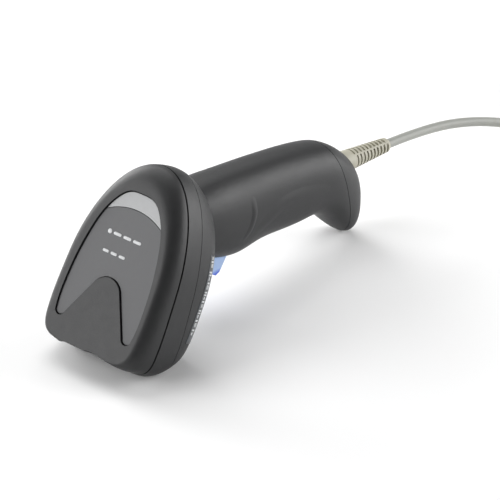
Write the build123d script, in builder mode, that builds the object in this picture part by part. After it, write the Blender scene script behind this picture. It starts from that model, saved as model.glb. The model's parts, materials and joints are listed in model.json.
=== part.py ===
from build123d import *
import math
import os

# Handheld barcode scanner, millimetres. It stands on the flat rim of its nose and on the toe of its
# handle, both at z = 0. X runs from the head to the end of the handle, Z is up, y = 0 is the mirror plane.

os.makedirs("parts", exist_ok=True)

# ---- head: badge plate frame ----
# In this frame the first axis runs down the badge plate to the nose and the last one points out of it.
plate_x = -58.4
plate_z = 52.0
plate_lean = math.radians(32.9)
nose_way = Vector(-math.sin(plate_lean), 0, -math.cos(plate_lean))
out_way = Vector(-math.cos(plate_lean), 0, math.sin(plate_lean))
head = Plane(origin=(plate_x, 0, plate_z), x_dir=nose_way, z_dir=out_way)
head_side = Plane(origin=(plate_x, 0, plate_z), x_dir=nose_way, z_dir=(0, 1, 0))

# ---- head: shell ----
wall = 2.2
head_top = 1.6
roll_height = 8.6
rim_back = -22.5
rim_nose = 49.7
rim_half = 23.7
full_back = -34.4
full_nose = 51.0
full_half = 29.7
waist = 20.0
back_power = 2.05
nose_power = 6.5
outline_steps = 24
roll_steps = (0.0, 0.4, 0.7, 0.9, 1.0)
# height, back end, nose end and half width of the head below the rolled shoulder
lower_levels = (
    (-16.0, -34.8, 51.2, 29.7),
    (-23.0, -32.5, 48.0, 29.2),
    (-29.6, -28.5, 44.0, 27.2),
    (-33.6, -23.5, 41.0, 24.2),
    (-35.4, -18.5, 38.5, 20.2),
)
cover_floor = 3.8
seam_gap = 0.45
cover_seam = ((-60.0, -6.8), (-10.0, -5.6), (20.0, -6.8), (38.0, -8.2), (60.0, -12.0))
shell_seam = ((-60.0, -17.0), (-10.0, -15.6), (15.0, -18.6), (32.0, -21.0), (60.0, -24.5))
far = 120.0

# ---- nose ----
mouth_flat_front = plate_x - 8.0
mouth_flat_back = plate_x + 8.0
mouth_lift_front = (plate_x - 30.0, 12.0)
mouth_lift_back = (plate_x + 19.0, 7.0)
mouth_centre = plate_x - 6.0
mouth_length = 23.2
mouth_width = 48.0
mouth_radius = 8.0
mouth_height = 13.0
lip_front = (plate_x - 28.3, 11.1)
lip_back = (plate_x - 8.0, 2.5)
lip_half = 21.5
lip_depth = 14.0
lip_radius = 12.0
lip_wall = 1.8
bezel_cut = 1.1

# ---- handle: station along X from the plate, top, bottom, half width ----
handle_stations = (
    (30.0, 64.5, 34.0, 13.5),
    (38.0, 64.0, 28.0, 14.5),
    (48.0, 63.4, 24.6, 14.8),
    (60.0, 62.0, 21.8, 14.6),
    (72.0, 60.6, 22.4, 14.2),
    (88.0, 58.4, 21.2, 14.0),
    (104.0, 55.8, 19.9, 14.0),
    (114.0, 53.7, 19.0, 14.0),
    (121.0, 51.8, 15.2, 14.0),
    (128.0, 48.4, 8.6, 13.6),
    (134.0, 43.8, 3.0, 12.7),
    (139.0, 38.6, 0.0, 11.4),
    (142.6, 33.2, 1.2, 9.4),
    (145.2, 26.4, 5.6, 6.0),
)
handle_power = 2.4
handle_wall = 2.4
handle_steps = 16
groove_depth = 1.0
fine_groove = 0.15
cap_groove_depth = 0.8
cap_top = (plate_x + 121.5, 52.0)
cap_bottom = (plate_x + 136.5, 0.0)

# ---- trigger ----
pivot_x = plate_x + 40.2
pivot_z = 35.4
pivot_radius = 1.2
pivot_clearance = 0.05
eye_radius = 2.4
trigger_half = 6.8
trigger_side = (
    (40.2, 37.8),
    (37.9, 34.6),
    (39.4, 28.0),
    (44.8, 18.7),
    (46.9, 17.3),
    (49.3, 18.2),
    (54.0, 24.2),
    (55.4, 31.0),
    (55.0, 37.8),
)
trigger_round = 0.7
slot_front = plate_x + 37.0
slot_back = plate_x + 57.6
slot_half = 7.3
cheek_half = 7.3
cheek_thickness = 1.3
cheek_low = 33.6
cheek_span = (plate_x + 38.6, plate_x + 57.0)
bracket_top = 44.4
bracket_plate = 1.4
bracket_half = 11.6
switch_x = plate_x + 47.5
switch_size = 6.0
switch_height = 3.0
plunger_radius = 0.6
plunger_low = 37.95
plunger_high = 41.0
plunger_room = 1.1
spring_x = plate_x + 53.6
spring_radius = 1.4
spring_wire = 0.25
spring_turns = 4

# ---- cable: boot, plug and socket ----
cable_radius = 2.25
boot_root = (plate_x + 136.4, 34.4)
boot_end = (plate_x + 171.8, 31.0)
boot_root_radius = 5.4
boot_end_radius = 3.3
boot_gap = 0.2
boot_nose = 0.9
boot_core = 2.7
boot_slots = 10
boot_slot_first = 8.5
boot_slot_pitch = 2.55
boot_slot_share = 1.3
boot_slot_length = 0.95
boot_slot_growth = 0.06
cap_hole_depth = 2.0
boot_way = Vector(boot_end[0] - boot_root[0], 0, boot_end[1] - boot_root[1])
boot_length = boot_way.length
cable_plane = Plane(origin=(boot_root[0], 0, boot_root[1]), x_dir=(0, 1, 0), z_dir=boot_way)
plug_size = (11.2, 6.6, 14.5)
plug_lift = -0.3
socket_wall = 0.9
socket_size = (13.2, 11.0, 16.0)
socket_back = -5.0
latch_size = (4.0, 0.8, 12.0)
latch_height = 3.9
contact_count = 8
contact_pitch = 1.02
handle_board_size = (15.0, 1.2, 56.0)
handle_board_end = -12.0

# ---- cable on the table ----
coil_pitch = 4.6
turns_across = 5
layers = 2
coil_radius = 27.0
coil_centre = (plate_x + 329.0, -8.0)
coil_low = 0.4
coil_width = turns_across * coil_pitch
coil_height = layers * coil_pitch
outer_turn = coil_radius + coil_width / 2 - coil_pitch / 2
entry_angle = math.radians(-120)
tie_angle = math.radians(172)
tie_width = 9.0
tie_thickness = 0.4
cord_first_run = 30.3
cord_points = (
    (plate_x + 232.0, -4.5, 22.6),
    (plate_x + 259.0, -12.3, 13.2),
    (plate_x + 285.8, -24.85, 4.4),
)
# the tail's points, counted from the coil's centre: it leaves the top turn and crosses over the coil
tail_points = ((22.1, -30.0, 7.0), (34.4, -15.4, 11.2), (32.5, 6.0, 13.4), (17.9, 18.2, 13.65))
plug_body = (15.4, 8.0, 24.0)
plug_round = 2.5
plug_shell = (12.0, 4.5, 12.5)
plug_shell_wall = 0.35
plug_tongue = (11.0, 1.9, 11.0)
plug_window = (2.6, 7.0, 2.2)

# ---- badge plate and light guide ----
plate_side = (
    (-19.6, 6.5),
    (-13.9, 13.0),
    (-5.0, 17.6),
    (3.0, 19.8),
    (15.0, 21.8),
    (25.0, 22.5),
    (33.0, 22.5),
    (38.0, 21.9),
)
plate_back = (-20.3, 0.0)
plate_middle = 12.0
plate_tip = (40.2, 20.2)
notch_foot = (38.4, 16.4)
notch_shoulder = (21.0, 6.9)
notch_top = 17.4
crescent_ends = (-7.5, 18.0)
crescent_middle = -12.9
recess_floor = -0.9
plate_face = 0.8
plate_gap = 0.5
guide_gap = 0.15
stem_spots = ((-15.2, -6.5), (-15.2, 6.5))
stem_radius = 1.3
stem_clearance = 0.15
stem_end = -10.7

# ---- scan window ----
bezel_low = 2.6
bezel_high = 6.6
bezel_clearance = 0.1
bezel_length = mouth_length - 2 * bezel_clearance
bezel_width = mouth_width - 2 * bezel_clearance
window_size = (17.2, 36.0)
window_radius = 3.0
window_low = 4.4
window_thickness = 1.4
window_lap = 1.2
gasket_thickness = 0.8
post_spread = 21.0
post_radius = 1.9
post_top = 14.5
screw_pilot = 1.0
screw_shank = 0.95

# ---- scan engine ----
engine_x = plate_x - 3.0
engine_size = (18.0, 32.0, 13.5)
engine_low = post_top
ear_thickness = 2.5
lens_spot = (-2.0, -1.0)
lens_radius = 4.0
lens_wall = 0.8
lamp_spots = ((-2.0, -12.4), (-2.0, 12.4))
lamp_radius = 2.8
lamp_depth = 4.0
lamp_chip = 3.0
aimer_spot = (-2.0, 6.0)
aimer_radius = 1.9
aimer_depth = 6.0
sensor_size = (7.0, 7.0, 1.2)
sensor_board_size = (17.0, 26.0, 1.0)

# ---- main board, in the badge plate frame ----
board_top = -12.0
board_thickness = 1.2
board_centre = -2.0
board_size = (28.0, 36.0)
connector_height = 1.6
flex_thickness = 0.3
board_screw_spots = ((-13.0, -14.0), (-13.0, 14.0), (9.0, -15.5), (9.0, 15.5))
boss_radius = 2.2
screw_head_radius = 1.9
screw_head_height = 1.4
housing_screw_spots = ((20.0, -21.5), (20.0, 21.5))
housing_joint = -14.0
housing_boss_radius = 3.3
housing_head_radius = 2.3
housing_head_seat = -29.0
housing_shank = 21.0

# ---- label on the underside ----
label_span = (3.0, 36.0)
label_half = 15.0
label_depth = 0.5
label_thickness = 0.35
label_middle = (label_span[0] + label_span[1]) / 2
underside = lower_levels[-1][0]


def sign(value):
    return math.copysign(1.0, value)


def head_outline(back, nose, half):
    """Closed outline of the head at one height: round at the back, squarer at the nose."""
    points = []
    for step in range(outline_steps):
        turn = 2 * math.pi * step / outline_steps
        reach = nose - waist if math.cos(turn) >= 0 else waist - back
        power = nose_power if math.cos(turn) >= 0 else back_power
        along = reach * sign(math.cos(turn)) * abs(math.cos(turn)) ** (2 / power)
        across = half * sign(math.sin(turn)) * abs(math.sin(turn)) ** (2 / power)
        points.append((waist + along, across))
    return points


def head_levels(inset, top):
    """Heights and outlines of the head, from the flat round the badge plate to the underside."""
    levels = []
    roll = top - (head_top - roll_height)
    for part in roll_steps:
        height = top - roll * (1 - math.sqrt(1 - part * part))
        back = rim_back + (full_back - rim_back) * part + inset
        nose = rim_nose + (full_nose - rim_nose) * part - inset
        half = rim_half + (full_half - rim_half) * part - inset
        levels.append((height, back, nose, half))
    for height, back, nose, half in lower_levels:
        lift = inset * (height - lower_levels[0][0]) / (lower_levels[-1][0] - lower_levels[0][0])
        levels.append((height + lift, back + inset, nose - inset, half - inset))
    return levels


def head_body(inset, top):
    """The head as one solid, drawn in by the inset."""
    with BuildPart() as body:
        for height, back, nose, half in head_levels(inset, top):
            with BuildSketch(head.offset(height)):
                with BuildLine():
                    Spline(*head_outline(back, nose, half), periodic=True)
                make_face()
        loft()
    return body.part


def handle_body(inset, stations):
    """The handle as one solid through its cross sections, drawn in by the inset."""
    with BuildPart() as body:
        for station, top, bottom, half in stations:
            with BuildSketch(Plane.YZ.offset(plate_x + station)):
                with BuildLine():
                    Spline(*handle_oval(top - inset, bottom + inset, half - inset), periodic=True)
                make_face()
        loft()
    return body.part


def handle_oval(top, bottom, half):
    points = []
    for step in range(handle_steps):
        turn = 2 * math.pi * step / handle_steps
        across = half * sign(math.cos(turn)) * abs(math.cos(turn)) ** (2 / handle_power)
        rise = sign(math.sin(turn)) * abs(math.sin(turn)) ** (2 / handle_power)
        points.append((across, (top + bottom) / 2 + rise * (top - bottom) / 2))
    return points


def beyond_seam(seam, shift, way):
    """Everything on one side of a seam: way 1 is towards the badge plate, -1 towards the handle."""
    line = [(along, height + shift) for along, height in seam]
    with BuildPart() as region:
        with BuildSketch(head_side):
            with BuildLine():
                Spline(*line)
                Polyline(line[-1], (line[-1][0], way * far), (line[0][0], way * far), line[0])
            make_face()
        extrude(amount=far / 2, both=True)
    return region.part


def below_mouth():
    """Everything under the nose: flat in the middle, curving up at the front and the back."""
    with BuildPart() as region:
        with BuildSketch(Plane.XZ):
            with BuildLine():
                Line((mouth_flat_front, 0), (mouth_flat_back, 0))
                TangentArc((mouth_flat_front, 0), mouth_lift_front, tangent=(-1, 0))
                TangentArc((mouth_flat_back, 0), mouth_lift_back, tangent=(1, 0))
                front_low = (mouth_lift_front[0], -far)
                back_low = (mouth_lift_back[0], -far)
                Polyline(mouth_lift_front, front_low, back_low, mouth_lift_back)
            make_face()
        extrude(amount=far / 2, both=True)
    return region.part


def under_lip(grow):
    """The arched hollow under the nose's front lip, between the two side walls."""
    way = (lip_back[0] - lip_front[0], 0, lip_back[1] - lip_front[1])
    lip_plane = Plane(origin=(lip_front[0], 0, lip_front[1]), x_dir=(0, 1, 0), z_dir=way)
    with BuildPart() as region:
        with BuildSketch(lip_plane.offset(-lip_depth)):
            with Locations((0, grow - lip_depth)):
                RectangleRounded(2 * lip_half, 2 * lip_depth, lip_radius)
        extrude(amount=far / 2)
    return region.part


def past_cap_seam(shift):
    """Everything past the slanting seam between the handle and its end cap."""
    with BuildPart() as region:
        with BuildSketch(Plane.XZ):
            with BuildLine():
                slope = (cap_bottom[0] - cap_top[0]) / (cap_bottom[1] - cap_top[1])
                high = (cap_top[0] + shift + slope * far, cap_top[1] + far)
                low = (cap_bottom[0] + shift - slope * far, cap_bottom[1] - far)
                Polyline(high, low, (low[0] + far, low[1]), (low[0] + far, high[1]), high)
            make_face()
        extrude(amount=far / 2, both=True)
    return region.part


def block(plane, centre, size):
    """A plain box on a plane, its centre and size given in that plane's own directions."""
    with BuildPart() as body:
        with BuildSketch(plane.offset(centre[2] - size[2] / 2)):
            with Locations((centre[0], centre[1])):
                Rectangle(size[0], size[1])
        extrude(amount=size[2])
    return body.part


def shifted(plane, across, along, out):
    """A plane moved in its own directions."""
    return Plane(plane.from_local_coords(Vector(across, along, out)), x_dir=plane.x_dir, z_dir=plane.z_dir)


def rod(plane, radius, length):
    """A round bar that starts on a plane and runs along its normal."""
    with BuildPart() as body:
        with BuildSketch(plane):
            Circle(radius)
        extrude(amount=length)
    return body.part


def save(part, label):
    part.label = label
    export_step(part, f"parts/{label}.step")


def plate_outline(inset):
    """The badge plate seen from outside: round at the back, with two lobes beside a notch at the nose."""
    edge = []
    for along, across in plate_edge:
        reach = math.hypot(along - plate_middle, across)
        edge.append((along - inset * (along - plate_middle) / reach, across * (1 - inset / reach)))
    tip = (plate_tip[0] - inset, plate_tip[1])
    foot = (notch_foot[0] - inset / 2, notch_foot[1] + inset)
    shoulder = (notch_shoulder[0] - inset / 2, notch_shoulder[1] + inset)
    with BuildSketch(mode=Mode.PRIVATE) as outline:
        with BuildLine():
            Spline(*edge)
            ThreePointArc(edge[-1], tip, foot)
            Line(foot, shoulder)
            ThreePointArc(shoulder, (notch_top - inset, 0), mirrored(shoulder))
            Line(mirrored(shoulder), mirrored(foot))
            ThreePointArc(mirrored(foot), mirrored(tip), edge[0])
        make_face()
    return outline.sketch


def mirrored(point):
    return (point[0], -point[1])


def crescent_side(shift):
    """The part of the plate opening behind the lower edge of the light guide."""
    with BuildSketch(mode=Mode.PRIVATE) as region:
        with BuildLine():
            right = (crescent_ends[0] + shift, crescent_ends[1])
            far_right = (right[0] - far, right[1])
            ThreePointArc(mirrored(right), (crescent_middle + shift, 0), right)
            Polyline(right, far_right, mirrored(far_right), mirrored(right))
        make_face()
    return region.sketch


plate_edge = [mirrored(point) for point in reversed(plate_side)] + [plate_back] + list(plate_side)

outer = head_body(0, head_top)
hollow = head_body(wall, head_top - cover_floor) - under_lip(lip_wall)
grip = handle_body(0, handle_stations)
grip_hollow = handle_body(handle_wall, handle_stations[:-2])
under = below_mouth() + under_lip(0)

cap_groove = (grip - handle_body(cap_groove_depth, handle_stations)) & past_cap_seam(-fine_groove)
cap_groove = cap_groove - past_cap_seam(fine_groove)

with BuildPart() as mouth:
    with BuildSketch(Plane.XY.offset(-1)):
        with Locations((mouth_centre, 0)):
            RectangleRounded(mouth_length, mouth_width, mouth_radius)
    extrude(amount=mouth_height + 1)

groove_bed = head_body(groove_depth, head_top)
cover_slice = beyond_seam(cover_seam, -seam_gap, 1) & beyond_seam(cover_seam, seam_gap, -1)
cover_groove = (outer & cover_slice) - groove_bed
shell_slice = beyond_seam(shell_seam, -fine_groove, 1) & beyond_seam(shell_seam, fine_groove, -1)
shell_groove = (outer & shell_slice) - groove_bed


def housing_boss(spot):
    """A screw post in the lower shell, from the underside up to the top cover's own post."""
    return rod(shifted(head, spot[0], spot[1], housing_joint), housing_boss_radius, -far / 3) & outer


def label_recess():
    size = (label_span[1] - label_span[0], 2 * label_half, 2 * label_depth)
    return block(head, (label_middle, 0, underside), size)


def trigger_slot():
    return block(Plane.XY, ((slot_front + slot_back) / 2, 0, pivot_z / 2),
                 (slot_back - slot_front, 2 * slot_half, pivot_z + 4))


def shell_part(region, cutters):
    """The head's wall inside a region, less its cutters."""
    part = (outer & region) - hollow - under - mouth.part
    for cutter in cutters:
        part = part - cutter
    return part


# ---- top cover ----
cover_shell = shell_part(beyond_seam(cover_seam, 0, 1), (cover_groove,))
with BuildPart() as top_cover:
    add(cover_shell)
    with BuildSketch(head.offset(recess_floor)):
        add(plate_outline(0))
    extrude(amount=far / 4, mode=Mode.SUBTRACT)
    with BuildSketch(head.offset(board_top)):
        with Locations(*board_screw_spots):
            Circle(boss_radius)
    extrude(amount=recess_floor - board_top - 1)
    with BuildSketch(head.offset(housing_joint)):
        with Locations(*housing_screw_spots):
            Circle(housing_boss_radius)
    extrude(amount=recess_floor - housing_joint - 1)
    with BuildSketch(head.offset(housing_joint)):
        with Locations(*board_screw_spots, *housing_screw_spots):
            Circle(screw_pilot)
    extrude(amount=recess_floor - housing_joint - 3, mode=Mode.SUBTRACT)
    with BuildSketch(head.offset(housing_joint)):
        with Locations(*stem_spots):
            Circle(stem_radius + stem_clearance)
    extrude(amount=far / 4, mode=Mode.SUBTRACT)
save(top_cover.part, "top_cover")

# ---- badge plate and light guide ----
with BuildPart() as badge_plate:
    with BuildSketch(head.offset(recess_floor)):
        add(plate_outline(plate_gap) - crescent_side(guide_gap))
    extrude(amount=plate_face - recess_floor)
save(badge_plate.part, "badge_plate")

with BuildPart() as status_light_guide:
    with BuildSketch(head.offset(recess_floor)):
        add(plate_outline(plate_gap) & crescent_side(-guide_gap))
    extrude(amount=plate_face - recess_floor)
    with BuildSketch(head.offset(stem_end)):
        with Locations(*stem_spots):
            Circle(stem_radius)
    extrude(amount=recess_floor - stem_end)
save(status_light_guide.part, "status_light_guide")

# ---- side band ----
band_region = beyond_seam(cover_seam, 0, -1) & beyond_seam(shell_seam, 0, 1)
save(shell_part(band_region, (cover_groove, shell_groove)), "side_band")

# ---- lower shell and handle in one moulding ----
with BuildPart() as grip_housing:
    add(outer & beyond_seam(shell_seam, 0, -1))
    add(grip - beyond_seam(shell_seam, 0, 1))
    add(hollow, mode=Mode.SUBTRACT)
    add(grip_hollow, mode=Mode.SUBTRACT)
    for spot in housing_screw_spots:
        add(housing_boss(spot))
    for cutter in (under, mouth.part, shell_groove, past_cap_seam(0), cap_groove, label_recess()):
        add(cutter, mode=Mode.SUBTRACT)
    with BuildSketch(head.offset(housing_joint)):
        with Locations(*housing_screw_spots):
            Circle(screw_pilot)
    extrude(amount=-far / 2, mode=Mode.SUBTRACT)
    with BuildSketch(head.offset(housing_head_seat)):
        with Locations(*housing_screw_spots):
            Circle(housing_head_radius + stem_clearance)
    extrude(amount=-far / 2, mode=Mode.SUBTRACT)
    add(trigger_slot(), mode=Mode.SUBTRACT)
save(grip_housing.part, "grip_housing")

# ---- handle end cap ----
with BuildPart() as handle_end_cap:
    add(grip & past_cap_seam(0))
    cable_hole = rod(cable_plane.offset(-cap_hole_depth), boot_root_radius + boot_gap, far)
    for cutter in (grip_hollow, cap_groove, cable_hole):
        add(cutter, mode=Mode.SUBTRACT)
save(handle_end_cap.part, "handle_end_cap")

# ---- label ----
save(block(head, (label_middle, 0, underside + label_depth - label_thickness / 2),
           (label_span[1] - label_span[0] - 0.4, 2 * label_half - 0.4, label_thickness)), "underside_label")

# ---- scan window ----
with BuildPart() as window_bezel:
    with BuildSketch(Plane.XY.offset(bezel_low)):
        with Locations((mouth_centre, 0)):
            RectangleRounded(bezel_length, bezel_width, mouth_radius)
    extrude(amount=bezel_high - bezel_low)
    with BuildSketch(Plane.XY.offset(bezel_high)):
        with Locations((mouth_centre, -post_spread), (mouth_centre, post_spread)):
            Circle(post_radius)
    extrude(amount=post_top - bezel_high)
    with BuildSketch(Plane.XY.offset(bezel_low - 1)):
        with Locations((mouth_centre, 0)):
            RectangleRounded(window_size[0] - 2 * window_lap, window_size[1] - 2 * window_lap, window_radius)
    extrude(amount=far / 8, mode=Mode.SUBTRACT)
    with BuildSketch(Plane.XY.offset(window_low)):
        with Locations((mouth_centre, 0)):
            RectangleRounded(window_size[0], window_size[1], window_radius + window_lap)
    extrude(amount=far / 8, mode=Mode.SUBTRACT)
    with BuildSketch(Plane.XY.offset(post_top)):
        with Locations((mouth_centre, -post_spread), (mouth_centre, post_spread)):
            Circle(screw_pilot)
    extrude(amount=-(post_top - bezel_high), mode=Mode.SUBTRACT)
    add(under_lip(-bezel_cut), mode=Mode.SUBTRACT)
save(window_bezel.part, "window_bezel")

with BuildPart() as scan_window:
    with BuildSketch(Plane.XY.offset(window_low)):
        with Locations((mouth_centre, 0)):
            RectangleRounded(window_size[0] - 0.2, window_size[1] - 0.2, window_radius + window_lap)
    extrude(amount=window_thickness)
save(scan_window.part, "scan_window")

with BuildPart() as window_gasket:
    with BuildSketch(Plane.XY.offset(window_low + window_thickness)):
        with Locations((mouth_centre, 0)):
            RectangleRounded(window_size[0] - 0.2, window_size[1] - 0.2, window_radius + window_lap)
            RectangleRounded(window_size[0] - 3, window_size[1] - 3, window_radius, mode=Mode.SUBTRACT)
    extrude(amount=gasket_thickness)
save(window_gasket.part, "window_gasket")

# ---- scan engine ----
engine = Plane((engine_x, 0, engine_low))
with BuildPart() as engine_chassis:
    with BuildSketch(engine):
        Rectangle(engine_size[0], engine_size[1])
    extrude(amount=engine_size[2])
    with BuildSketch(engine):
        with Locations((mouth_centre - engine_x, 0)):
            SlotOverall(2 * (post_spread + post_radius), 2 * post_radius, rotation=90)
    extrude(amount=ear_thickness)
    with BuildSketch(engine):
        with Locations((mouth_centre - engine_x, -post_spread), (mouth_centre - engine_x, post_spread)):
            Circle(screw_pilot)
    extrude(amount=ear_thickness, mode=Mode.SUBTRACT)
    with BuildSketch(engine):
        with Locations(lens_spot):
            Circle(lens_radius)
    extrude(amount=engine_size[2], mode=Mode.SUBTRACT)
    with BuildSketch(engine):
        with Locations(*lamp_spots):
            Circle(lamp_radius)
    extrude(amount=lamp_depth, mode=Mode.SUBTRACT)
    with BuildSketch(engine):
        with Locations(aimer_spot):
            Circle(aimer_radius)
    extrude(amount=aimer_depth, mode=Mode.SUBTRACT)
save(engine_chassis.part, "engine_chassis")

with BuildPart() as lens_barrel:
    with BuildSketch(engine.offset(0.5)):
        with Locations(lens_spot):
            Circle(lens_radius - 0.05)
            Circle(lens_radius - lens_wall, mode=Mode.SUBTRACT)
    extrude(amount=engine_size[2] - 4)
save(lens_barrel.part, "lens_barrel")

with BuildPart() as front_lens:
    with BuildSketch(engine.offset(1.5)):
        with Locations(lens_spot):
            Circle(lens_radius - lens_wall - 0.05)
    extrude(amount=1.6)
save(front_lens.part, "front_lens")

board_low = engine_size[2]
save(block(engine, (lens_spot[0], lens_spot[1], board_low - sensor_size[2] / 2),
           (sensor_size[0] - 1.6, sensor_size[1] - 1.6, sensor_size[2])), "image_sensor")
save(block(engine, (0, 0, board_low + sensor_board_size[2] / 2), sensor_board_size), "sensor_board")

with BuildPart() as illumination_leds:
    with BuildSketch(engine.offset(lamp_depth - 1)):
        with Locations(*lamp_spots):
            Rectangle(lamp_chip, lamp_chip)
    extrude(amount=1)
save(illumination_leds.part, "illumination_leds")

with BuildPart() as illumination_lenses:
    with BuildSketch(engine.offset(0.4)):
        with Locations(*lamp_spots):
            Circle(lamp_radius - 0.05)
    extrude(amount=1.4)
save(illumination_lenses.part, "illumination_lenses")

with BuildPart() as aimer_module:
    with BuildSketch(engine.offset(1.6)):
        with Locations(aimer_spot):
            Circle(aimer_radius - 0.05)
    extrude(amount=aimer_depth - 1.8)
save(aimer_module.part, "aimer_module")

with BuildPart() as aimer_lens:
    with BuildSketch(engine.offset(0.4)):
        with Locations(aimer_spot):
            Circle(aimer_radius - 0.05)
    extrude(amount=1.2)
save(aimer_lens.part, "aimer_lens")

# ---- main board ----
board_plane = head.offset(board_top - board_thickness)
with BuildPart() as main_board:
    with BuildSketch(board_plane):
        with Locations((board_centre, 0)):
            RectangleRounded(board_size[0], board_size[1], 1.5)
    extrude(amount=board_thickness)
    with BuildSketch(board_plane):
        with Locations(*board_screw_spots):
            Circle(screw_pilot)
    extrude(amount=board_thickness, mode=Mode.SUBTRACT)
save(main_board.part, "main_board")

with BuildPart() as processor_parts:
    with BuildSketch(board_plane):
        with Locations((-3.0, -6.0)):
            Rectangle(9.0, 9.0)
        with Locations((-3.0, 5.0)):
            Rectangle(8.0, 6.0)
    extrude(amount=-1.2)
save(processor_parts.part, "processor_parts")

with BuildPart() as board_connectors:
    with BuildSketch(board_plane):
        with Locations((6.5, 0), (-12.5, 0)):
            Rectangle(3.6, 13.0)
    extrude(amount=-connector_height)
save(board_connectors.part, "board_connectors")

with BuildPart() as beeper:
    with BuildSketch(head.offset(board_top)):
        with Locations((2.0, 8.5)):
            Circle(4.6)
    extrude(amount=3.2)
    with BuildSketch(head.offset(board_top + 3.2)):
        with Locations((2.0, 8.5)):
            Circle(0.8)
    extrude(amount=-1.5, mode=Mode.SUBTRACT)
save(beeper.part, "beeper")

with BuildPart() as status_leds:
    with BuildSketch(head.offset(board_top)):
        with Locations(*stem_spots):
            Rectangle(2.0, 1.6)
    extrude(amount=1.0)
save(status_leds.part, "status_leds")


def screw(plane, spot, head_radius, head_height, shank):
    """A pan head screw with a cross recess: its head stands below the plane, its shank goes up."""
    place = shifted(plane, spot[0], spot[1], 0)
    body = rod(place, screw_shank, shank) + rod(place, head_radius, -head_height)
    bottom = place.offset(-head_height)
    for size in ((head_radius * 1.2, head_radius * 0.3), (head_radius * 0.3, head_radius * 1.2)):
        body = body - block(bottom, (0, 0, 0), (size[0], size[1], head_height))
    return body


def screw_set(plane, spots, head_radius, head_height, shank):
    return Compound(children=[screw(plane, spot, head_radius, head_height, shank) for spot in spots])


save(screw_set(board_plane, board_screw_spots, screw_head_radius, screw_head_height, 5.5), "board_screws")
housing_seat = head.offset(housing_head_seat)
save(screw_set(housing_seat, housing_screw_spots, housing_head_radius, screw_head_height, housing_shank),
     "housing_screws")
ears = engine.offset(ear_thickness)
post_spots = ((mouth_centre - engine_x, -post_spread), (mouth_centre - engine_x, post_spread))
upside_down = Plane(ears.origin, x_dir=ears.x_dir, z_dir=-ears.z_dir)
save(screw_set(upside_down, post_spots, screw_head_radius, screw_head_height, 6.0), "engine_screws")
sensor_top = engine.offset(board_low + sensor_board_size[2])


def ribbon(points, start, finish, half):
    """A flat flexible cable along a smooth side view."""
    with BuildPart() as body:
        with BuildSketch(Plane.XZ):
            with BuildLine() as line:
                Spline(*points, tangents=(start, finish))
            trace(line_width=flex_thickness)
        extrude(amount=half, both=True)
    return body.part


socket_middle = plug_lift + 0.35
board_low_face = socket_middle + socket_size[1] / 2
connector_low = board_plane.offset(-connector_height)
engine_end = connector_low.from_local_coords(Vector(6.5, 0, -0.2))
handle_end = connector_low.from_local_coords(Vector(-12.5, 0, -0.2))
board_start = cable_plane.from_local_coords(
    Vector(0, board_low_face + handle_board_size[1] + flex_thickness / 2 + 0.05,
           handle_board_end - handle_board_size[2] + 3))
save(ribbon(((engine_x + 6.0, sensor_top.origin.Z + 0.2), (engine_x + 9.0, sensor_top.origin.Z + 3.5),
             (engine_end.X, engine_end.Z)), (1, 0.3), (-0.6, 0.9), 5.5), "engine_flex")
save(ribbon(((handle_end.X, handle_end.Z), (plate_x + 40.0, 51.0), (board_start.X, board_start.Z)),
            (0.9, -0.5), (1, -0.1), 5.0), "handle_flex")

# ---- trigger ----
with BuildPart() as trigger:
    with BuildSketch(Plane.XZ):
        with BuildLine():
            Polyline(*[(plate_x + along, height) for along, height in trigger_side], close=True)
        make_face()
        fillet([corner for corner in vertices() if corner.Y < pivot_z - 1], trigger_round)
        with Locations((pivot_x, pivot_z)):
            Circle(eye_radius)
            Circle(pivot_radius + pivot_clearance, mode=Mode.SUBTRACT)
    extrude(amount=trigger_half, both=True)
save(trigger.part, "trigger")

pin_half = cheek_half + cheek_thickness
side_plane = Plane(origin=(pivot_x, -pin_half, pivot_z), x_dir=(1, 0, 0), z_dir=(0, 1, 0))
save(rod(side_plane, pivot_radius, 2 * pin_half), "trigger_pivot_pin")

plate_low = bracket_top - bracket_plate
cheek_middle = (cheek_span[0] + cheek_span[1]) / 2
cheek_length = cheek_span[1] - cheek_span[0]
with BuildPart() as trigger_bracket:
    add(block(Plane.XY, (cheek_middle, 0, (plate_low + bracket_top) / 2),
              (cheek_length, 2 * bracket_half, bracket_plate)))
    for side in (-1, 1):
        cheek_spot = (cheek_middle, side * (pin_half - cheek_thickness / 2), (cheek_low + plate_low) / 2)
        add(block(Plane.XY, cheek_spot, (cheek_length, cheek_thickness, plate_low - cheek_low)))
    add(rod(side_plane, pivot_radius, far / 4), mode=Mode.SUBTRACT)
save(trigger_bracket.part, "trigger_bracket")

with BuildPart() as switch_body:
    switch_spot = (switch_x, 0, plate_low - switch_height / 2)
    add(block(Plane.XY, switch_spot, (switch_size, switch_size, switch_height)))
    add(rod(Plane((switch_x, 0, plate_low - switch_height)), plunger_radius + 0.1,
            plunger_high - plate_low + switch_height + plunger_room), mode=Mode.SUBTRACT)
save(switch_body.part, "switch_body")
save(rod(Plane((switch_x, 0, plunger_low)), plunger_radius, plunger_high - plunger_low), "switch_plunger")

spring_low = trigger_side[0][1] + spring_wire + 0.05
spring_high = plate_low - spring_wire - 0.05
with BuildPart() as trigger_spring:
    with BuildLine(Plane((spring_x, 0, spring_low))) as coil_line:
        Helix((spring_high - spring_low) / spring_turns, spring_high - spring_low, spring_radius)
    with BuildSketch(Plane(coil_line.line @ 0, z_dir=coil_line.line % 0)):
        Circle(spring_wire)
    sweep()
save(trigger_spring.part, "trigger_spring")

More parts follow.
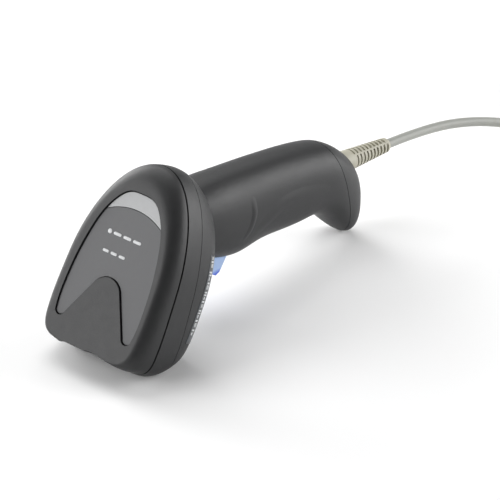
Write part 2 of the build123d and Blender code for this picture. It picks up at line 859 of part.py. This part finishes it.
# ---- handle electronics ----
board_spot = (0, board_low_face + handle_board_size[1] / 2, handle_board_end - handle_board_size[2] / 2)
save(block(cable_plane, board_spot, handle_board_size), "handle_board")
with BuildPart() as cable_socket:
    add(block(cable_plane, (0, socket_middle, socket_back - socket_size[2] / 2), socket_size))
    add(block(cable_plane, (0, socket_middle, socket_back - socket_size[2] / 2 + socket_wall),
              (socket_size[0] - 2 * socket_wall, socket_size[1] - 2 * socket_wall, socket_size[2])),
        mode=Mode.SUBTRACT)
save(cable_socket.part, "cable_socket")

plug_low = plug_lift - plug_size[1] / 2
comb_size = (contact_count * contact_pitch + 0.6, 1.8, 5.0)
blade_size = (0.4, 0.8, 4.0)
wire_size = (0.4, 0.5, 9.0)
wire_middle = -11.0
with BuildPart() as cable_plug:
    add(block(cable_plane, (0, plug_lift, -plug_size[2] / 2), plug_size))
    comb_spot = (0, plug_low, -plug_size[2] + comb_size[2] / 2 - 0.1)
    add(block(cable_plane, comb_spot, comb_size), mode=Mode.SUBTRACT)
save(cable_plug.part, "cable_plug")


def contact_set(height, size, start):
    blades = []
    for blade in range(contact_count):
        across = (blade - (contact_count - 1) / 2) * contact_pitch
        blades.append(block(cable_plane, (across, height, start), size))
    return Compound(children=blades)


save(contact_set(plug_low + 0.5, blade_size, -plug_size[2] + 2.6), "plug_contacts")
wire_height = socket_middle - socket_size[1] / 2 + socket_wall + wire_size[1] / 2
save(contact_set(wire_height, wire_size, wire_middle), "socket_contacts")
save(block(cable_plane, (0, latch_height, -plug_size[2] / 2 - 0.5), latch_size), "plug_latch")

# ---- boot ----
slot_ways = (cable_plane.x_dir, cable_plane.y_dir, -cable_plane.x_dir, -cable_plane.y_dir)
with BuildPart() as strain_relief:
    with BuildSketch(cable_plane):
        Circle(boot_root_radius)
    with BuildSketch(cable_plane.offset(boot_length - boot_nose)):
        Circle(boot_end_radius + 0.2)
    with BuildSketch(cable_plane.offset(boot_length)):
        Circle(boot_end_radius - 0.4)
    loft(ruled=True)
    for row, row_way in enumerate(slot_ways):
        turned = Plane(cable_plane.origin, x_dir=row_way, z_dir=boot_way)
        for slot in range(boot_slots):
            along = boot_slot_first + (slot + 0.5 * (row % 2)) * boot_slot_pitch
            radius = boot_root_radius + (boot_end_radius - boot_root_radius) * along / boot_length
            size = (boot_slot_share * radius, 2 * boot_core, boot_slot_length + boot_slot_growth * slot)
            add(block(turned, (0, 2 * boot_core, along), size), mode=Mode.SUBTRACT)
save(strain_relief.part, "strain_relief")


# ---- cable ----
def cord_tube(points, start_plane):
    """A round cable of straight runs joined by arcs as large as the runs allow."""
    corners = [Vector(*point) for point in points]
    radii = []
    for before, corner, after in zip(corners, corners[1:], corners[2:]):
        shorter = min((corner - before).length, (after - corner).length)
        half_turn = math.radians((corner - before).get_angle(after - corner)) / 2
        radii.append(0.45 * shorter / math.tan(half_turn))
    print("arc radii", [round(radius, 1) for radius in radii])
    with BuildPart() as tube:
        with BuildLine() as path:
            FilletPolyline(*points, radius=radii)
        with BuildSketch(start_plane):
            Circle(cable_radius)
        sweep(path=path.wires()[0])
    length = path.wires()[0].length
    print("tube", round(length, 1), "volume ratio", tube.part.volume / (length * math.pi * cable_radius**2))
    return tube.part


def from_coil(across, along, height):
    return (coil_centre[0] + across, coil_centre[1] + along, height)


coil_middle = coil_low + coil_height / 2
coil_base = Plane((coil_centre[0], coil_centre[1], 0))
tie_way = Vector(math.cos(tie_angle), math.sin(tie_angle), 0)
tie_plane = Plane(coil_base.origin, x_dir=tie_way, z_dir=tie_way.cross(Vector(0, 0, 1)))
tie_size = (coil_width + 2 * tie_thickness, coil_height + 2 * tie_thickness, tie_width)
with BuildPart() as coil_tie:
    add(block(tie_plane, (coil_radius, coil_middle, 0), tie_size))
with BuildPart() as cable_coil:
    with BuildSketch(Plane.XZ):
        with Locations((coil_radius, coil_middle)):
            RectangleRounded(coil_width, coil_height, coil_pitch / 2 - 0.2)
    revolve(axis=Axis.Z)
coil_ring = coil_base.location * cable_coil.part
save(coil_tie.part - coil_ring, "coil_tie")
save(coil_ring, "cable_coil")

cord_finish = from_coil(outer_turn * math.cos(entry_angle), outer_turn * math.sin(entry_angle),
                        coil_low + coil_pitch / 2)
cord_start = cable_plane.offset(boot_length)
cord_second = cable_plane.offset(boot_length + cord_first_run)
cord_route = (tuple(cord_start.origin), tuple(cord_second.origin), *cord_points, cord_finish)
save(cord_tube(cord_route, cord_start), "cable_cord")

tail_route = [from_coil(*point) for point in tail_points]
tail_way = Vector(*tail_route[1]) - Vector(*tail_route[0])
save(cord_tube(tail_route, Plane(tail_route[0], z_dir=tail_way)), "cable_tail")

plug_way = Vector(*tail_route[-1]) - Vector(*tail_route[-2])
plug_flat = Vector(plug_way.X, plug_way.Y, 0).normalized()
usb = Plane(tail_route[-1], x_dir=Vector(0, 0, 1).cross(plug_flat), z_dir=plug_flat)
with BuildPart() as usb_overmould:
    with BuildSketch(usb):
        with Locations((0, 0)):
            RectangleRounded(plug_body[0], plug_body[1], plug_round)
    extrude(amount=plug_body[2])
save(usb_overmould.part, "usb_overmould")
usb_mouth = usb.offset(plug_body[2])
with BuildPart() as usb_shell:
    add(block(usb_mouth, (0, 0, plug_shell[2] / 2), plug_shell))
    add(block(usb_mouth, (0, 0, plug_shell[2] / 2 + 0.5),
              (plug_shell[0] - 2 * plug_shell_wall, plug_shell[1] - 2 * plug_shell_wall, plug_shell[2])),
        mode=Mode.SUBTRACT)
    for side in (-1, 1):
        add(block(usb_mouth, (side * plug_window[0], plug_shell[1] / 2, plug_window[1]),
                  (plug_window[2], plug_window[2], plug_window[2])), mode=Mode.SUBTRACT)
save(usb_shell.part, "usb_shell")
with BuildPart() as usb_insert:
    add(block(usb_mouth, (0, -0.8, 0.5 + plug_tongue[2] / 2), plug_tongue))
save(usb_insert.part, "usb_insert")
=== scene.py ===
import json
import math

import bmesh
import bpy
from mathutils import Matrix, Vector
from mathutils.bvhtree import BVHTree


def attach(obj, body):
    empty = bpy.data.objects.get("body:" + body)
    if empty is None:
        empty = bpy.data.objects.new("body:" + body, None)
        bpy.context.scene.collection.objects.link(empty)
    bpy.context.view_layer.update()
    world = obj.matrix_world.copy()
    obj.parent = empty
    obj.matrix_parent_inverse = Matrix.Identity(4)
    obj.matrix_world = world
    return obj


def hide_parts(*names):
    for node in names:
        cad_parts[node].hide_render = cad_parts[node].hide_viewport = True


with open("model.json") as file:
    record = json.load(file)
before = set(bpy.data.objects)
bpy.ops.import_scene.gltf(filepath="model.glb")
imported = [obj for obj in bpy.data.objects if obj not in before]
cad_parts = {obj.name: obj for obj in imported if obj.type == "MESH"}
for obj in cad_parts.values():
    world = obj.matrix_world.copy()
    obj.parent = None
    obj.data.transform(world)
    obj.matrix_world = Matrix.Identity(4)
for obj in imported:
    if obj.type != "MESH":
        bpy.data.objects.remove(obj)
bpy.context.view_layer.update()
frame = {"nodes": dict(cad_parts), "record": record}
nodes = frame["nodes"]
scene = bpy.context.scene

MM = 0.001
PLATE_X = -58.4


# ---------------------------------------------------------------- camera
CAMERA_SPOT = (PLATE_X - 673.97, -665.34, 578.03)
CAMERA_BACK = Vector((-0.6527, -0.5783, 0.4895))
CAMERA_LENS = 187.2
CAMERA_SENSOR = 36.0
CAMERA_CLIP = (0.05, 20.0)
camera_data = bpy.data.cameras.new("camera")
camera_data.lens = CAMERA_LENS
camera_data.sensor_width = CAMERA_SENSOR
camera_data.clip_start, camera_data.clip_end = CAMERA_CLIP
camera = bpy.data.objects.new("camera", camera_data)
scene.collection.objects.link(camera)
camera.location = Vector(CAMERA_SPOT) * MM
camera.rotation_mode = "QUATERNION"
camera.rotation_quaternion = (-CAMERA_BACK).to_track_quat("-Z", "Y")
scene.camera = camera


# ---------------------------------------------------------------- helpers
def mesh_piece(name, points, faces):
    """A smooth mesh object from points in millimetres, riding on the housing."""
    mesh = bpy.data.meshes.new(name)
    mesh.from_pydata([Vector(p) * MM for p in points], [], faces)
    tidy = bmesh.new()
    tidy.from_mesh(mesh)
    bmesh.ops.recalc_face_normals(tidy, faces=tidy.faces)
    tidy.to_mesh(mesh)
    tidy.free()
    for face in mesh.polygons:
        face.use_smooth = True
    piece = bpy.data.objects.new(name, mesh)
    scene.collection.objects.link(piece)
    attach(piece, "housing")
    return piece


# ---------------------------------------------------------------- cord
CORD_RADIUS = 2.25
BOOT_ROOT = Vector((PLATE_X + 136.4, 0, 34.4))
BOOT_END = Vector((PLATE_X + 171.8, 0, 31.0))
BOOT_WAY = (BOOT_END - BOOT_ROOT).normalized()
CORD_FIRST_RUN = 30.3
CORD_POINTS = (
    (PLATE_X + 232.0, -4.5, 22.6),
    (PLATE_X + 259.0, -12.3, 13.2),
    (PLATE_X + 285.8, -24.85, 4.4),
)
COIL_CENTRE = (PLATE_X + 329.0, -8.0)
COIL_PITCH = 4.6
COIL_TURNS = 5
COIL_OUTER = 36.2
COIL_INNER = 17.8
COIL_LOW = 2.7
COIL_HIGH = 7.3
ENTRY = math.radians(-120)
LEAVE = math.radians(-40)
STEPS = 24
JOG = 4
CLIMB_INWARD = 1.7
TAIL_POINTS = ((34.4, -15.4, 11.2), (32.5, 6.0, 13.4), (17.9, 18.2, 13.65))
CORD_ORDER = 3
CORD_RESOLUTION = 6


def round_coil(distance, angle, height):
    x = COIL_CENTRE[0] + distance * math.cos(angle)
    y = COIL_CENTRE[1] + distance * math.sin(angle)
    return x, y, height


def ease(t):
    return t * t * (3 - 2 * t)


def coil_points():
    """Turns inwards on the floor, a climb, then turns outwards on top.

    Each turn shifts over in one place.
    """
    points = []
    step_angle = 2 * math.pi / STEPS
    for turn in range(COIL_TURNS):
        for step in range(STEPS):
            jogged = max(0, step - (STEPS - JOG)) / JOG
            radius = COIL_OUTER - COIL_PITCH * turn
            height = COIL_LOW
            if turn < COIL_TURNS - 1:
                radius -= COIL_PITCH * ease(jogged)
            else:
                height += (COIL_HIGH - COIL_LOW) * ease(jogged)
                radius -= CLIMB_INWARD * math.sin(math.pi * jogged)
            points.append(round_coil(radius, ENTRY + step * step_angle, height))
    last = round((LEAVE - ENTRY) / step_angle)
    for turn in range(COIL_TURNS):
        for step in range(STEPS if turn < COIL_TURNS - 1 else last):
            jogged = max(0, step - (STEPS - JOG)) / JOG
            radius = COIL_INNER + COIL_PITCH * (turn + ease(jogged))
            points.append(round_coil(radius, ENTRY + step * step_angle, COIL_HIGH))
    return points


first_run_end = BOOT_END + BOOT_WAY * CORD_FIRST_RUN
route = [tuple(BOOT_END), tuple(first_run_end), *CORD_POINTS, *coil_points()]
route.append(round_coil(COIL_OUTER, LEAVE, COIL_HIGH))
route.extend((COIL_CENTRE[0] + x, COIL_CENTRE[1] + y, z) for x, y, z in TAIL_POINTS)
cord_curve = bpy.data.curves.new("cable", "CURVE")
cord_curve.dimensions = "3D"
spline = cord_curve.splines.new("NURBS")
spline.points.add(len(route) - 1)
for spot, point in zip(spline.points, route):
    spot.co = (point[0] * MM, point[1] * MM, point[2] * MM, 1.0)
    spot.radius = MM  # the bevel depth below is in millimetres
spline.order_u = CORD_ORDER
spline.use_endpoint_u = True
spline.resolution_u = CORD_RESOLUTION
cord_curve.bevel_depth = CORD_RADIUS
cord_curve.bevel_resolution = CORD_RESOLUTION
cord_curve.use_fill_caps = True
cord = bpy.data.objects.new("cable", cord_curve)
scene.collection.objects.link(cord)
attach(cord, "housing")
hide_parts("cable_cord", "cable_coil", "cable_tail")


# ---------------------------------------------------------------- materials
MOTTLE_DETAIL = 4.0
MOTTLE_RAMP = (0.3, 0.7)
ROUGH_SPREAD = 0.06
ROUGH_LEAST = 0.02
GRAIN_DETAIL = 3.0
GRAIN_DEPTH = 0.0002


def principled(name, color, roughness, metallic=0.0, bump=0.0, bump_scale=2000.0,
               mottle=0.0, mottle_scale=300.0, **sockets):
    """Moulded or machined surface: fine grain in the bump, slow changes of colour and roughness."""
    material = bpy.data.materials.new(name)
    material.use_nodes = True
    tree = material.node_tree
    shader = tree.nodes["Principled BSDF"]
    shader.inputs["Metallic"].default_value = metallic
    for key, value in sockets.items():
        shader.inputs[key.replace("_", " ")].default_value = value
    place = tree.nodes.new("ShaderNodeTexCoord")
    slow = tree.nodes.new("ShaderNodeTexNoise")
    slow.inputs["Scale"].default_value = mottle_scale
    slow.inputs["Detail"].default_value = MOTTLE_DETAIL
    tree.links.new(place.outputs["Object"], slow.inputs["Vector"])
    ramp = tree.nodes.new("ShaderNodeValToRGB")
    darker = [c * (1 - mottle) for c in color]
    lighter = [min(1, c * (1 + mottle)) for c in color]
    for element, position, shade in zip(ramp.color_ramp.elements, MOTTLE_RAMP, (darker, lighter)):
        element.position = position
        element.color = (*shade, 1)
    tree.links.new(slow.outputs["Fac"], ramp.inputs["Fac"])
    tree.links.new(ramp.outputs["Color"], shader.inputs["Base Color"])
    rough = tree.nodes.new("ShaderNodeMapRange")
    rough.inputs["To Min"].default_value = max(ROUGH_LEAST, roughness - ROUGH_SPREAD)
    rough.inputs["To Max"].default_value = min(1.0, roughness + ROUGH_SPREAD)
    tree.links.new(slow.outputs["Fac"], rough.inputs["Value"])
    tree.links.new(rough.outputs["Result"], shader.inputs["Roughness"])
    if bump:
        grain = tree.nodes.new("ShaderNodeTexNoise")
        grain.inputs["Scale"].default_value = bump_scale
        grain.inputs["Detail"].default_value = GRAIN_DETAIL
        tree.links.new(place.outputs["Object"], grain.inputs["Vector"])
        push = tree.nodes.new("ShaderNodeBump")
        push.inputs["Strength"].default_value = bump
        push.inputs["Distance"].default_value = GRAIN_DEPTH
        tree.links.new(grain.outputs["Fac"], push.inputs["Height"])
        tree.links.new(push.outputs["Normal"], shader.inputs["Normal"])
    return material


CHARCOAL = (0.025, 0.0254, 0.0265)
PLATE_GREY = (0.105, 0.106, 0.110)
GUIDE_GREY = (0.33, 0.335, 0.34)
LABEL_BLACK = (0.05, 0.055, 0.06)
BEZEL_BLACK = (0.015, 0.015, 0.017)
GLASS_BLUE = (0.55, 0.6, 0.68)
FOAM_BLACK = (0.02, 0.02, 0.02)
CHIP_BLACK = (0.018, 0.018, 0.02)
BOARD_GREEN = (0.02, 0.14, 0.05)
LED_CREAM = (0.75, 0.74, 0.66)
STEEL = (0.62, 0.62, 0.63)
FLEX_AMBER = (0.42, 0.19, 0.03)
TRIGGER_BLUE = (0.34, 0.465, 0.72)
# painted shade: the trigger's front face and lower edge are drawn in a deeper blue below these heights
TRIGGER_PAINTED_SHADE = (0.07, 0.13, 0.60)
TRIGGER_SHADE_HEIGHTS = (18.2, 20.2)
PLUG_CLEAR = (0.6, 0.62, 0.62)
GOLD = (0.83, 0.62, 0.24)
BOOT_BEIGE = (0.40, 0.385, 0.31)
CABLE_GREY = (0.30, 0.305, 0.28)
TIE_BLACK = (0.02, 0.02, 0.02)
PRINT_WHITE = (0.62, 0.63, 0.64)
FLOOR_WHITE = (0.92, 0.92, 0.92)

# slot: colour, roughness and whatever else that surface needs
RECIPES = {
    "housing_plastic": (CHARCOAL, 0.5, dict(bump=0.22, bump_scale=2600, mottle=0.05,
                                            Specular_IOR_Level=0.35)),
    "plate_plastic": (PLATE_GREY, 0.55, dict(bump=0.1, bump_scale=3200, mottle=0.03,
                                             Specular_IOR_Level=0.35)),
    "light_guide": (GUIDE_GREY, 0.42, dict(bump=0.04, mottle=0.03)),
    "label_paper": (LABEL_BLACK, 0.35, dict(mottle=0.08)),
    "bezel_plastic": (BEZEL_BLACK, 0.5, dict(bump=0.2, mottle=0.05)),
    "window_glass": (GLASS_BLUE, 0.06, dict(Transmission_Weight=0.85, IOR=1.5)),
    "seal_foam": (FOAM_BLACK, 0.95, dict(bump=0.6, bump_scale=1500, mottle=0.2)),
    "chip_plastic": (CHIP_BLACK, 0.6, dict(bump=0.1, mottle=0.05)),
    "circuit_board": (BOARD_GREEN, 0.35, dict(mottle=0.15, mottle_scale=900)),
    "led_body": (LED_CREAM, 0.4, dict(mottle=0.04)),
    "steel_parts": (STEEL, 0.32, dict(metallic=1.0, bump=0.05, mottle=0.06)),
    "flex_film": (FLEX_AMBER, 0.3, dict(mottle=0.06)),
    "trigger_plastic": (TRIGGER_BLUE, 0.42, dict(bump=0.06, mottle=0.03)),
    "plug_plastic": (PLUG_CLEAR, 0.15, dict(mottle=0.02, Transmission_Weight=0.5)),
    "contact_metal": (GOLD, 0.25, dict(metallic=1.0, mottle=0.03)),
    "boot_rubber": (BOOT_BEIGE, 0.55, dict(bump=0.08, mottle=0.03)),
    "cable_jacket": (CABLE_GREY, 0.5, dict(bump=0.06, mottle=0.03)),
    "tie_nylon": (TIE_BLACK, 0.85, dict(bump=0.8, bump_scale=1800, mottle=0.3)),
    "overmould_rubber": (CABLE_GREY, 0.5, dict(bump=0.08, mottle=0.03)),
}
MATERIALS = {
    slot: principled(slot, color, roughness, **rest) for slot, (color, roughness, rest) in RECIPES.items()
}
# a colour Mix node also holds its number and vector sockets, so the colour ones go by place
MIX_FIRST, MIX_SECOND, MIX_RESULT = 6, 7, 2


def paint_shade_below(material, painted_shade, low_edge, high_edge):
    """Mix a darker colour, painted shade, into a material below a height, in the piece's own metres."""
    tree = material.node_tree
    shader = tree.nodes["Principled BSDF"]
    plain = shader.inputs["Base Color"].links[0].from_socket
    place = tree.nodes.new("ShaderNodeTexCoord")
    split = tree.nodes.new("ShaderNodeSeparateXYZ")
    share = tree.nodes.new("ShaderNodeMapRange")
    share.inputs["From Min"].default_value = low_edge * MM
    share.inputs["From Max"].default_value = high_edge * MM
    mix = tree.nodes.new("ShaderNodeMix")
    mix.data_type = "RGBA"
    tree.links.new(place.outputs["Object"], split.inputs["Vector"])
    tree.links.new(split.outputs["Z"], share.inputs["Value"])
    tree.links.new(share.outputs["Result"], mix.inputs["Factor"])
    mix.inputs[MIX_FIRST].default_value = (*painted_shade, 1)
    tree.links.new(plain, mix.inputs[MIX_SECOND])
    tree.links.new(mix.outputs[MIX_RESULT], shader.inputs["Base Color"])


# painted shade on the trigger's front face and lower edge, as a deeper blue below a height
paint_shade_below(MATERIALS["trigger_plastic"], TRIGGER_PAINTED_SHADE, *TRIGGER_SHADE_HEIGHTS)
PRINT = principled("pale_print", PRINT_WHITE, 0.5, mottle=0.03)


def paint(piece, slot):
    piece.data.materials.clear()
    piece.data.materials.append(MATERIALS[slot])


for row in frame["record"]["subparts"]:
    paint(nodes[row["node"]], row["material_slot"])
paint(cord, "cable_jacket")


# ---------------------------------------------------------------- edges of the mouldings
BEVELLED = {
    "top_cover": 0.3,
    "side_band": 0.35,
    "badge_plate": 0.3,
    "status_light_guide": 0.3,
    "trigger": 0.3,
}
BEVEL_SEGMENTS = 2
BEVEL_ANGLE = math.radians(48)
CRISP_ANGLE = math.radians(40)
WELD_REACH = 1e-6
NORMAL_WEIGHT = 60


def weld(piece):
    joined = piece.modifiers.new("weld", "WELD")
    joined.merge_threshold = WELD_REACH


def soften(piece, width):
    """A small round along the piece's edges."""
    bevel = piece.modifiers.new("edges", "BEVEL")
    bevel.width = width * MM
    bevel.segments = BEVEL_SEGMENTS
    bevel.limit_method = "ANGLE"
    bevel.angle_limit = BEVEL_ANGLE
    bevel.harden_normals = False


def crisp(piece):
    """Smooth shading that breaks at sharp edges and leaves large flats flat."""
    weld(piece)
    split = piece.modifiers.new("split", "EDGE_SPLIT")
    split.split_angle = CRISP_ANGLE
    split.use_edge_sharp = False
    even = piece.modifiers.new("even", "WEIGHTED_NORMAL")
    even.weight = NORMAL_WEIGHT
    even.keep_sharp = True


for name, piece in nodes.items():
    for face in piece.data.polygons:
        face.use_smooth = True
    piece.data.update()
    if name in BEVELLED:
        weld(piece)
        soften(piece, BEVELLED[name])
    crisp(piece)


# ---------------------------------------------------------------- features on the mouldings
PLATE_LEAN = math.radians(32.9)
PLATE_SPOT = Vector((PLATE_X, 0, 52.0))
DOWN = Vector((-math.sin(PLATE_LEAN), 0, -math.cos(PLATE_LEAN)))
OUT = Vector((-math.cos(PLATE_LEAN), 0, math.sin(PLATE_LEAN)))
SIDE = Vector((0, -1, 0))
FAR_SIDE = 70.0
FAR_OUT = 20.0
graph = bpy.context.evaluated_depsgraph_get()
skins = {name: BVHTree.FromObject(nodes[name], graph) for name in ("grip_housing", "badge_plate")}


def land(skin, spot, way):
    """Where a line from off the object first meets one moulding, and that surface's direction."""
    piece = nodes[skin]
    back = piece.matrix_world.inverted()
    start = back @ (Vector(spot) * MM)
    aim = (back.to_3x3() @ Vector(way)).normalized()
    hit, normal, _, _ = skins[skin].ray_cast(start, aim)
    normal = (piece.matrix_world.to_3x3() @ normal).normalized()
    if normal.dot(Vector(way)) > 0:
        normal.negate()
    return (piece.matrix_world @ hit) / MM, normal


FILM_SINK = 0.25


def film(name, rows, material, sink=FILM_SINK):
    """A closed skin over a grid of (landing, lift) pairs.

    Its top is lifted off the moulding and its back is sunk in it.
    """
    across = len(rows[0])
    top = [landing[0] + landing[1] * lift for row in rows for landing, lift in row]
    back = [landing[0] - landing[1] * sink for row in rows for landing, lift in row]
    count = len(top)
    faces = []
    for r in range(len(rows) - 1):
        for c in range(across - 1):
            a, b = r * across + c, (r + 1) * across + c
            faces.append((a, a + 1, b + 1, b))
            faces.append((count + b, count + b + 1, count + a + 1, count + a))
    rim = list(range(across)) + [r * across + across - 1 for r in range(1, len(rows))]
    rim += [(len(rows) - 1) * across + c for c in range(across - 2, -1, -1)]
    rim += [r * across for r in range(len(rows) - 2, 0, -1)]
    for a, b in zip(rim, rim[1:] + rim[:1]):
        faces.append((b, a, count + a, count + b))
    piece = mesh_piece(name, top + back, faces)
    piece.data.materials.append(material)


def side_patch(name, span, heights, lift, steps, material):
    """A skin on the head's side, between two places down the plate and two heights out of it."""
    rows = []
    for i in range(steps[0] + 1):
        along = span[0] + (span[1] - span[0]) * i / steps[0]
        row = []
        for j in range(steps[1] + 1):
            height = heights[0] + (heights[1] - heights[0]) * j / steps[1]
            spot = PLATE_SPOT + DOWN * along + OUT * height + SIDE * FAR_SIDE
            row.append((land("grip_housing", spot, -SIDE), lift))
        rows.append(row)
    film(name, rows, material)


LABEL_SPAN = (-6.5, 32.0)
LABEL_HEIGHTS = (-24.6, -31.4)
LABEL_LIFT = 0.12
LABEL_STEPS = (40, 8)
MARK_LIFT = 0.2
MARK_STEPS = (3, 3)
# generic marks: start, length along the label, low and high share of its width
MARKS = (
    (0.8, 1.2, 0.30, 0.46), (2.5, 0.7, 0.22, 0.60), (3.6, 1.6, 0.30, 0.42), (3.6, 1.6, 0.52, 0.62),
    (6.8, 0.7, 0.20, 0.62), (8.0, 0.7, 0.20, 0.62), (9.2, 1.5, 0.28, 0.40), (11.4, 0.7, 0.24, 0.62),
    (12.6, 1.8, 0.28, 0.38), (12.6, 1.8, 0.50, 0.60), (15.4, 0.6, 0.20, 0.64), (16.5, 0.6, 0.20, 0.64),
    (17.6, 1.2, 0.30, 0.44), (19.4, 0.7, 0.22, 0.60), (20.8, 1.6, 0.30, 0.40), (20.8, 1.6, 0.50, 0.60),
    (23.4, 0.6, 0.20, 0.64), (24.5, 0.6, 0.20, 0.64), (25.6, 1.4, 0.28, 0.42), (27.8, 0.7, 0.22, 0.62),
    (29.2, 1.8, 0.30, 0.40), (29.2, 1.8, 0.50, 0.60), (32.0, 0.7, 0.22, 0.60), (33.4, 1.2, 0.28, 0.44),
)
side_patch("side_label", LABEL_SPAN, LABEL_HEIGHTS, LABEL_LIFT, LABEL_STEPS, MATERIALS["label_paper"])
label_width = LABEL_HEIGHTS[1] - LABEL_HEIGHTS[0]
for number, (start, long, low_share, high_share) in enumerate(MARKS):
    mark_span = (LABEL_SPAN[0] + start, LABEL_SPAN[0] + start + long)
    mark_heights = (
        LABEL_HEIGHTS[0] + label_width * low_share,
        LABEL_HEIGHTS[0] + label_width * high_share,
    )
    side_patch(f"label_mark_{number}", mark_span, mark_heights, MARK_LIFT, MARK_STEPS, PRINT)


# generic print on the badge plate: place down it, place across it, length, width
PRINT_BARS = (
    (-0.6, -9.6, 2.2, 2.0), (-0.6, -5.2, 4.4, 1.3), (-0.6, 0.4, 4.4, 1.3), (-0.6, 6.0, 4.4, 1.3),
    (7.6, -8.0, 3.4, 1.2), (7.6, -3.4, 3.4, 1.2), (7.6, 1.2, 3.4, 1.2),
)
BAR_STEPS = 16
BAR_LIFT = 0.06
BAR_LEAST = 0.1


def plate_bar(name, along, across, long, wide):
    """A printed bar with round ends on the badge plate, running across it."""
    rows = []
    for i in range(BAR_STEPS + 1):
        part = -1 + 2 * i / BAR_STEPS
        into_end = max(0.0, abs(part) * long / 2 - (long / 2 - wide / 2))
        half = math.sqrt(max((wide / 2) ** 2 - into_end ** 2, BAR_LEAST ** 2))
        row = []
        for j in (-1, 0, 1):
            spot = PLATE_SPOT + DOWN * (along + half * j) + SIDE * (across + long / 2 * part)
            row.append((land("badge_plate", spot + OUT * FAR_OUT, -OUT), BAR_LIFT))
        rows.append(row)
    film(name, rows, PRINT)


for number, bar in enumerate(PRINT_BARS):
    plate_bar(f"print_bar_{number}", *bar)


def between(p, q, r, s, t):
    """A smooth value between q and r, with p before them and s after."""
    linear = (r - p) * t
    square = (2 * p - 5 * q + 4 * r - s) * t * t
    cube = (3 * q - p - 3 * r + s) * t ** 3
    return 0.5 * (2 * q + linear + square + cube)


def smooth_line(points, steps):
    """Points along a smooth line through the given ones."""
    ends = [points[0], *points, points[-1]]
    line = []
    for a, b, c, d in zip(ends, ends[1:], ends[2:], ends[3:]):
        for k in range(steps):
            line.append(tuple(between(p, q, r, s, k / steps) for p, q, r, s in zip(a, b, c, d)))
    line.append(points[-1])
    return line


SWELL_STEPS = 8
SWELL_HALF = 4
SWELL_SINK = 0.3
SUNK = 0.08
RIDGE = ((63.6, 52.2), (63.9, 47.0), (63.7, 42.6), (60.9, 36.8), (56.3, 32.5))
RIDGE_WIDTH = 5.0
RIDGE_HEIGHT = 0.5
FLANK = ((118.0, 34.6), (99.1, 39.4), (83.9, 40.6), (74.7, 37.4), (61.8, 31.4))
FLANK_WIDTH = 10.0
FLANK_HEIGHT = 0.45


def swell(name, points, width, height, side):
    """A soft raised line on one side of the handle, given by its side view.

    It fades out at both ends, and its borders are sunk in the handle.
    """
    line = smooth_line(points, SWELL_STEPS)
    rows = []
    for number, (x, z) in enumerate(line):
        before, after = line[max(number - 1, 0)], line[min(number + 1, len(line) - 1)]
        way = Vector((after[0] - before[0], 0, after[1] - before[1])).normalized()
        out = Vector((way.z, 0, -way.x))
        fade = math.sin(math.pi * number / (len(line) - 1))
        row = []
        for j in range(-SWELL_HALF, SWELL_HALF + 1):
            share = j / SWELL_HALF
            spot = Vector((PLATE_X + x, side * FAR_SIDE, z)) + out * (share * width / 2)
            bulge = (height + SUNK) * fade * (0.5 + 0.5 * math.cos(math.pi * share))
            row.append((land("grip_housing", spot, (0, -side, 0)), bulge - SUNK))
        rows.append(row)
    film(name, rows, MATERIALS["housing_plastic"], SWELL_SINK)


for side, word in ((-1, "right"), (1, "left")):
    swell("grip_ridge_" + word, RIDGE, RIDGE_WIDTH, RIDGE_HEIGHT, side)
    swell("grip_flank_" + word, FLANK, FLANK_WIDTH, FLANK_HEIGHT, side)


# ---------------------------------------------------------------- floor and light
FLOOR = 6.0
FLOOR_DROP = 0.0003
WORLD_STRENGTH = 0.12
HEAD_SPOT = (0, 0, 0.04)
GRIP_SPOT = (0.03, 0, 0.03)
# where it stands, what it is aimed at, its width and height, its power
SOFTBOXES = {
    "key": ((-1.6, 1.3, 0.8), HEAD_SPOT, (1.6, 1.6), 42.0),
    "back": ((0.8, 1.1, 1.9), HEAD_SPOT, (2.0, 2.0), 38.0),
    "rim": ((0.3, 1.9, 0.55), HEAD_SPOT, (1.4, 0.9), 30.0),
    "side": ((1.9, -1.5, 0.55), GRIP_SPOT, (2.4, 1.6), 82.0),
}

floor_mesh = bpy.data.meshes.new("floor")
floor_corners = [(-FLOOR, -FLOOR, 0), (FLOOR, -FLOOR, 0), (FLOOR, FLOOR, 0), (-FLOOR, FLOOR, 0)]
floor_mesh.from_pydata(floor_corners, [], [(0, 1, 2, 3)])
floor = bpy.data.objects.new("floor", floor_mesh)
scene.collection.objects.link(floor)
floor.location.z = -FLOOR_DROP
floor_mesh.materials.append(principled("pale_floor", FLOOR_WHITE, 0.9, mottle=0.004, mottle_scale=3))

world = bpy.data.worlds.new("studio")
scene.world = world
world.use_nodes = True
world.node_tree.nodes["Background"].inputs["Color"].default_value = (1, 1, 1, 1)
world.node_tree.nodes["Background"].inputs["Strength"].default_value = WORLD_STRENGTH


def softbox(name, spot, aim, size, power):
    light = bpy.data.lights.new(name, "AREA")
    light.shape = "RECTANGLE"
    light.size, light.size_y = size
    light.energy = power
    box = bpy.data.objects.new(name, light)
    scene.collection.objects.link(box)
    box.location = spot
    box.rotation_mode = "QUATERNION"
    box.rotation_quaternion = (Vector(aim) - Vector(spot)).to_track_quat("-Z", "Y")


for name, setting in SOFTBOXES.items():
    softbox(name, *setting)

scene.view_settings.view_transform = "Standard"
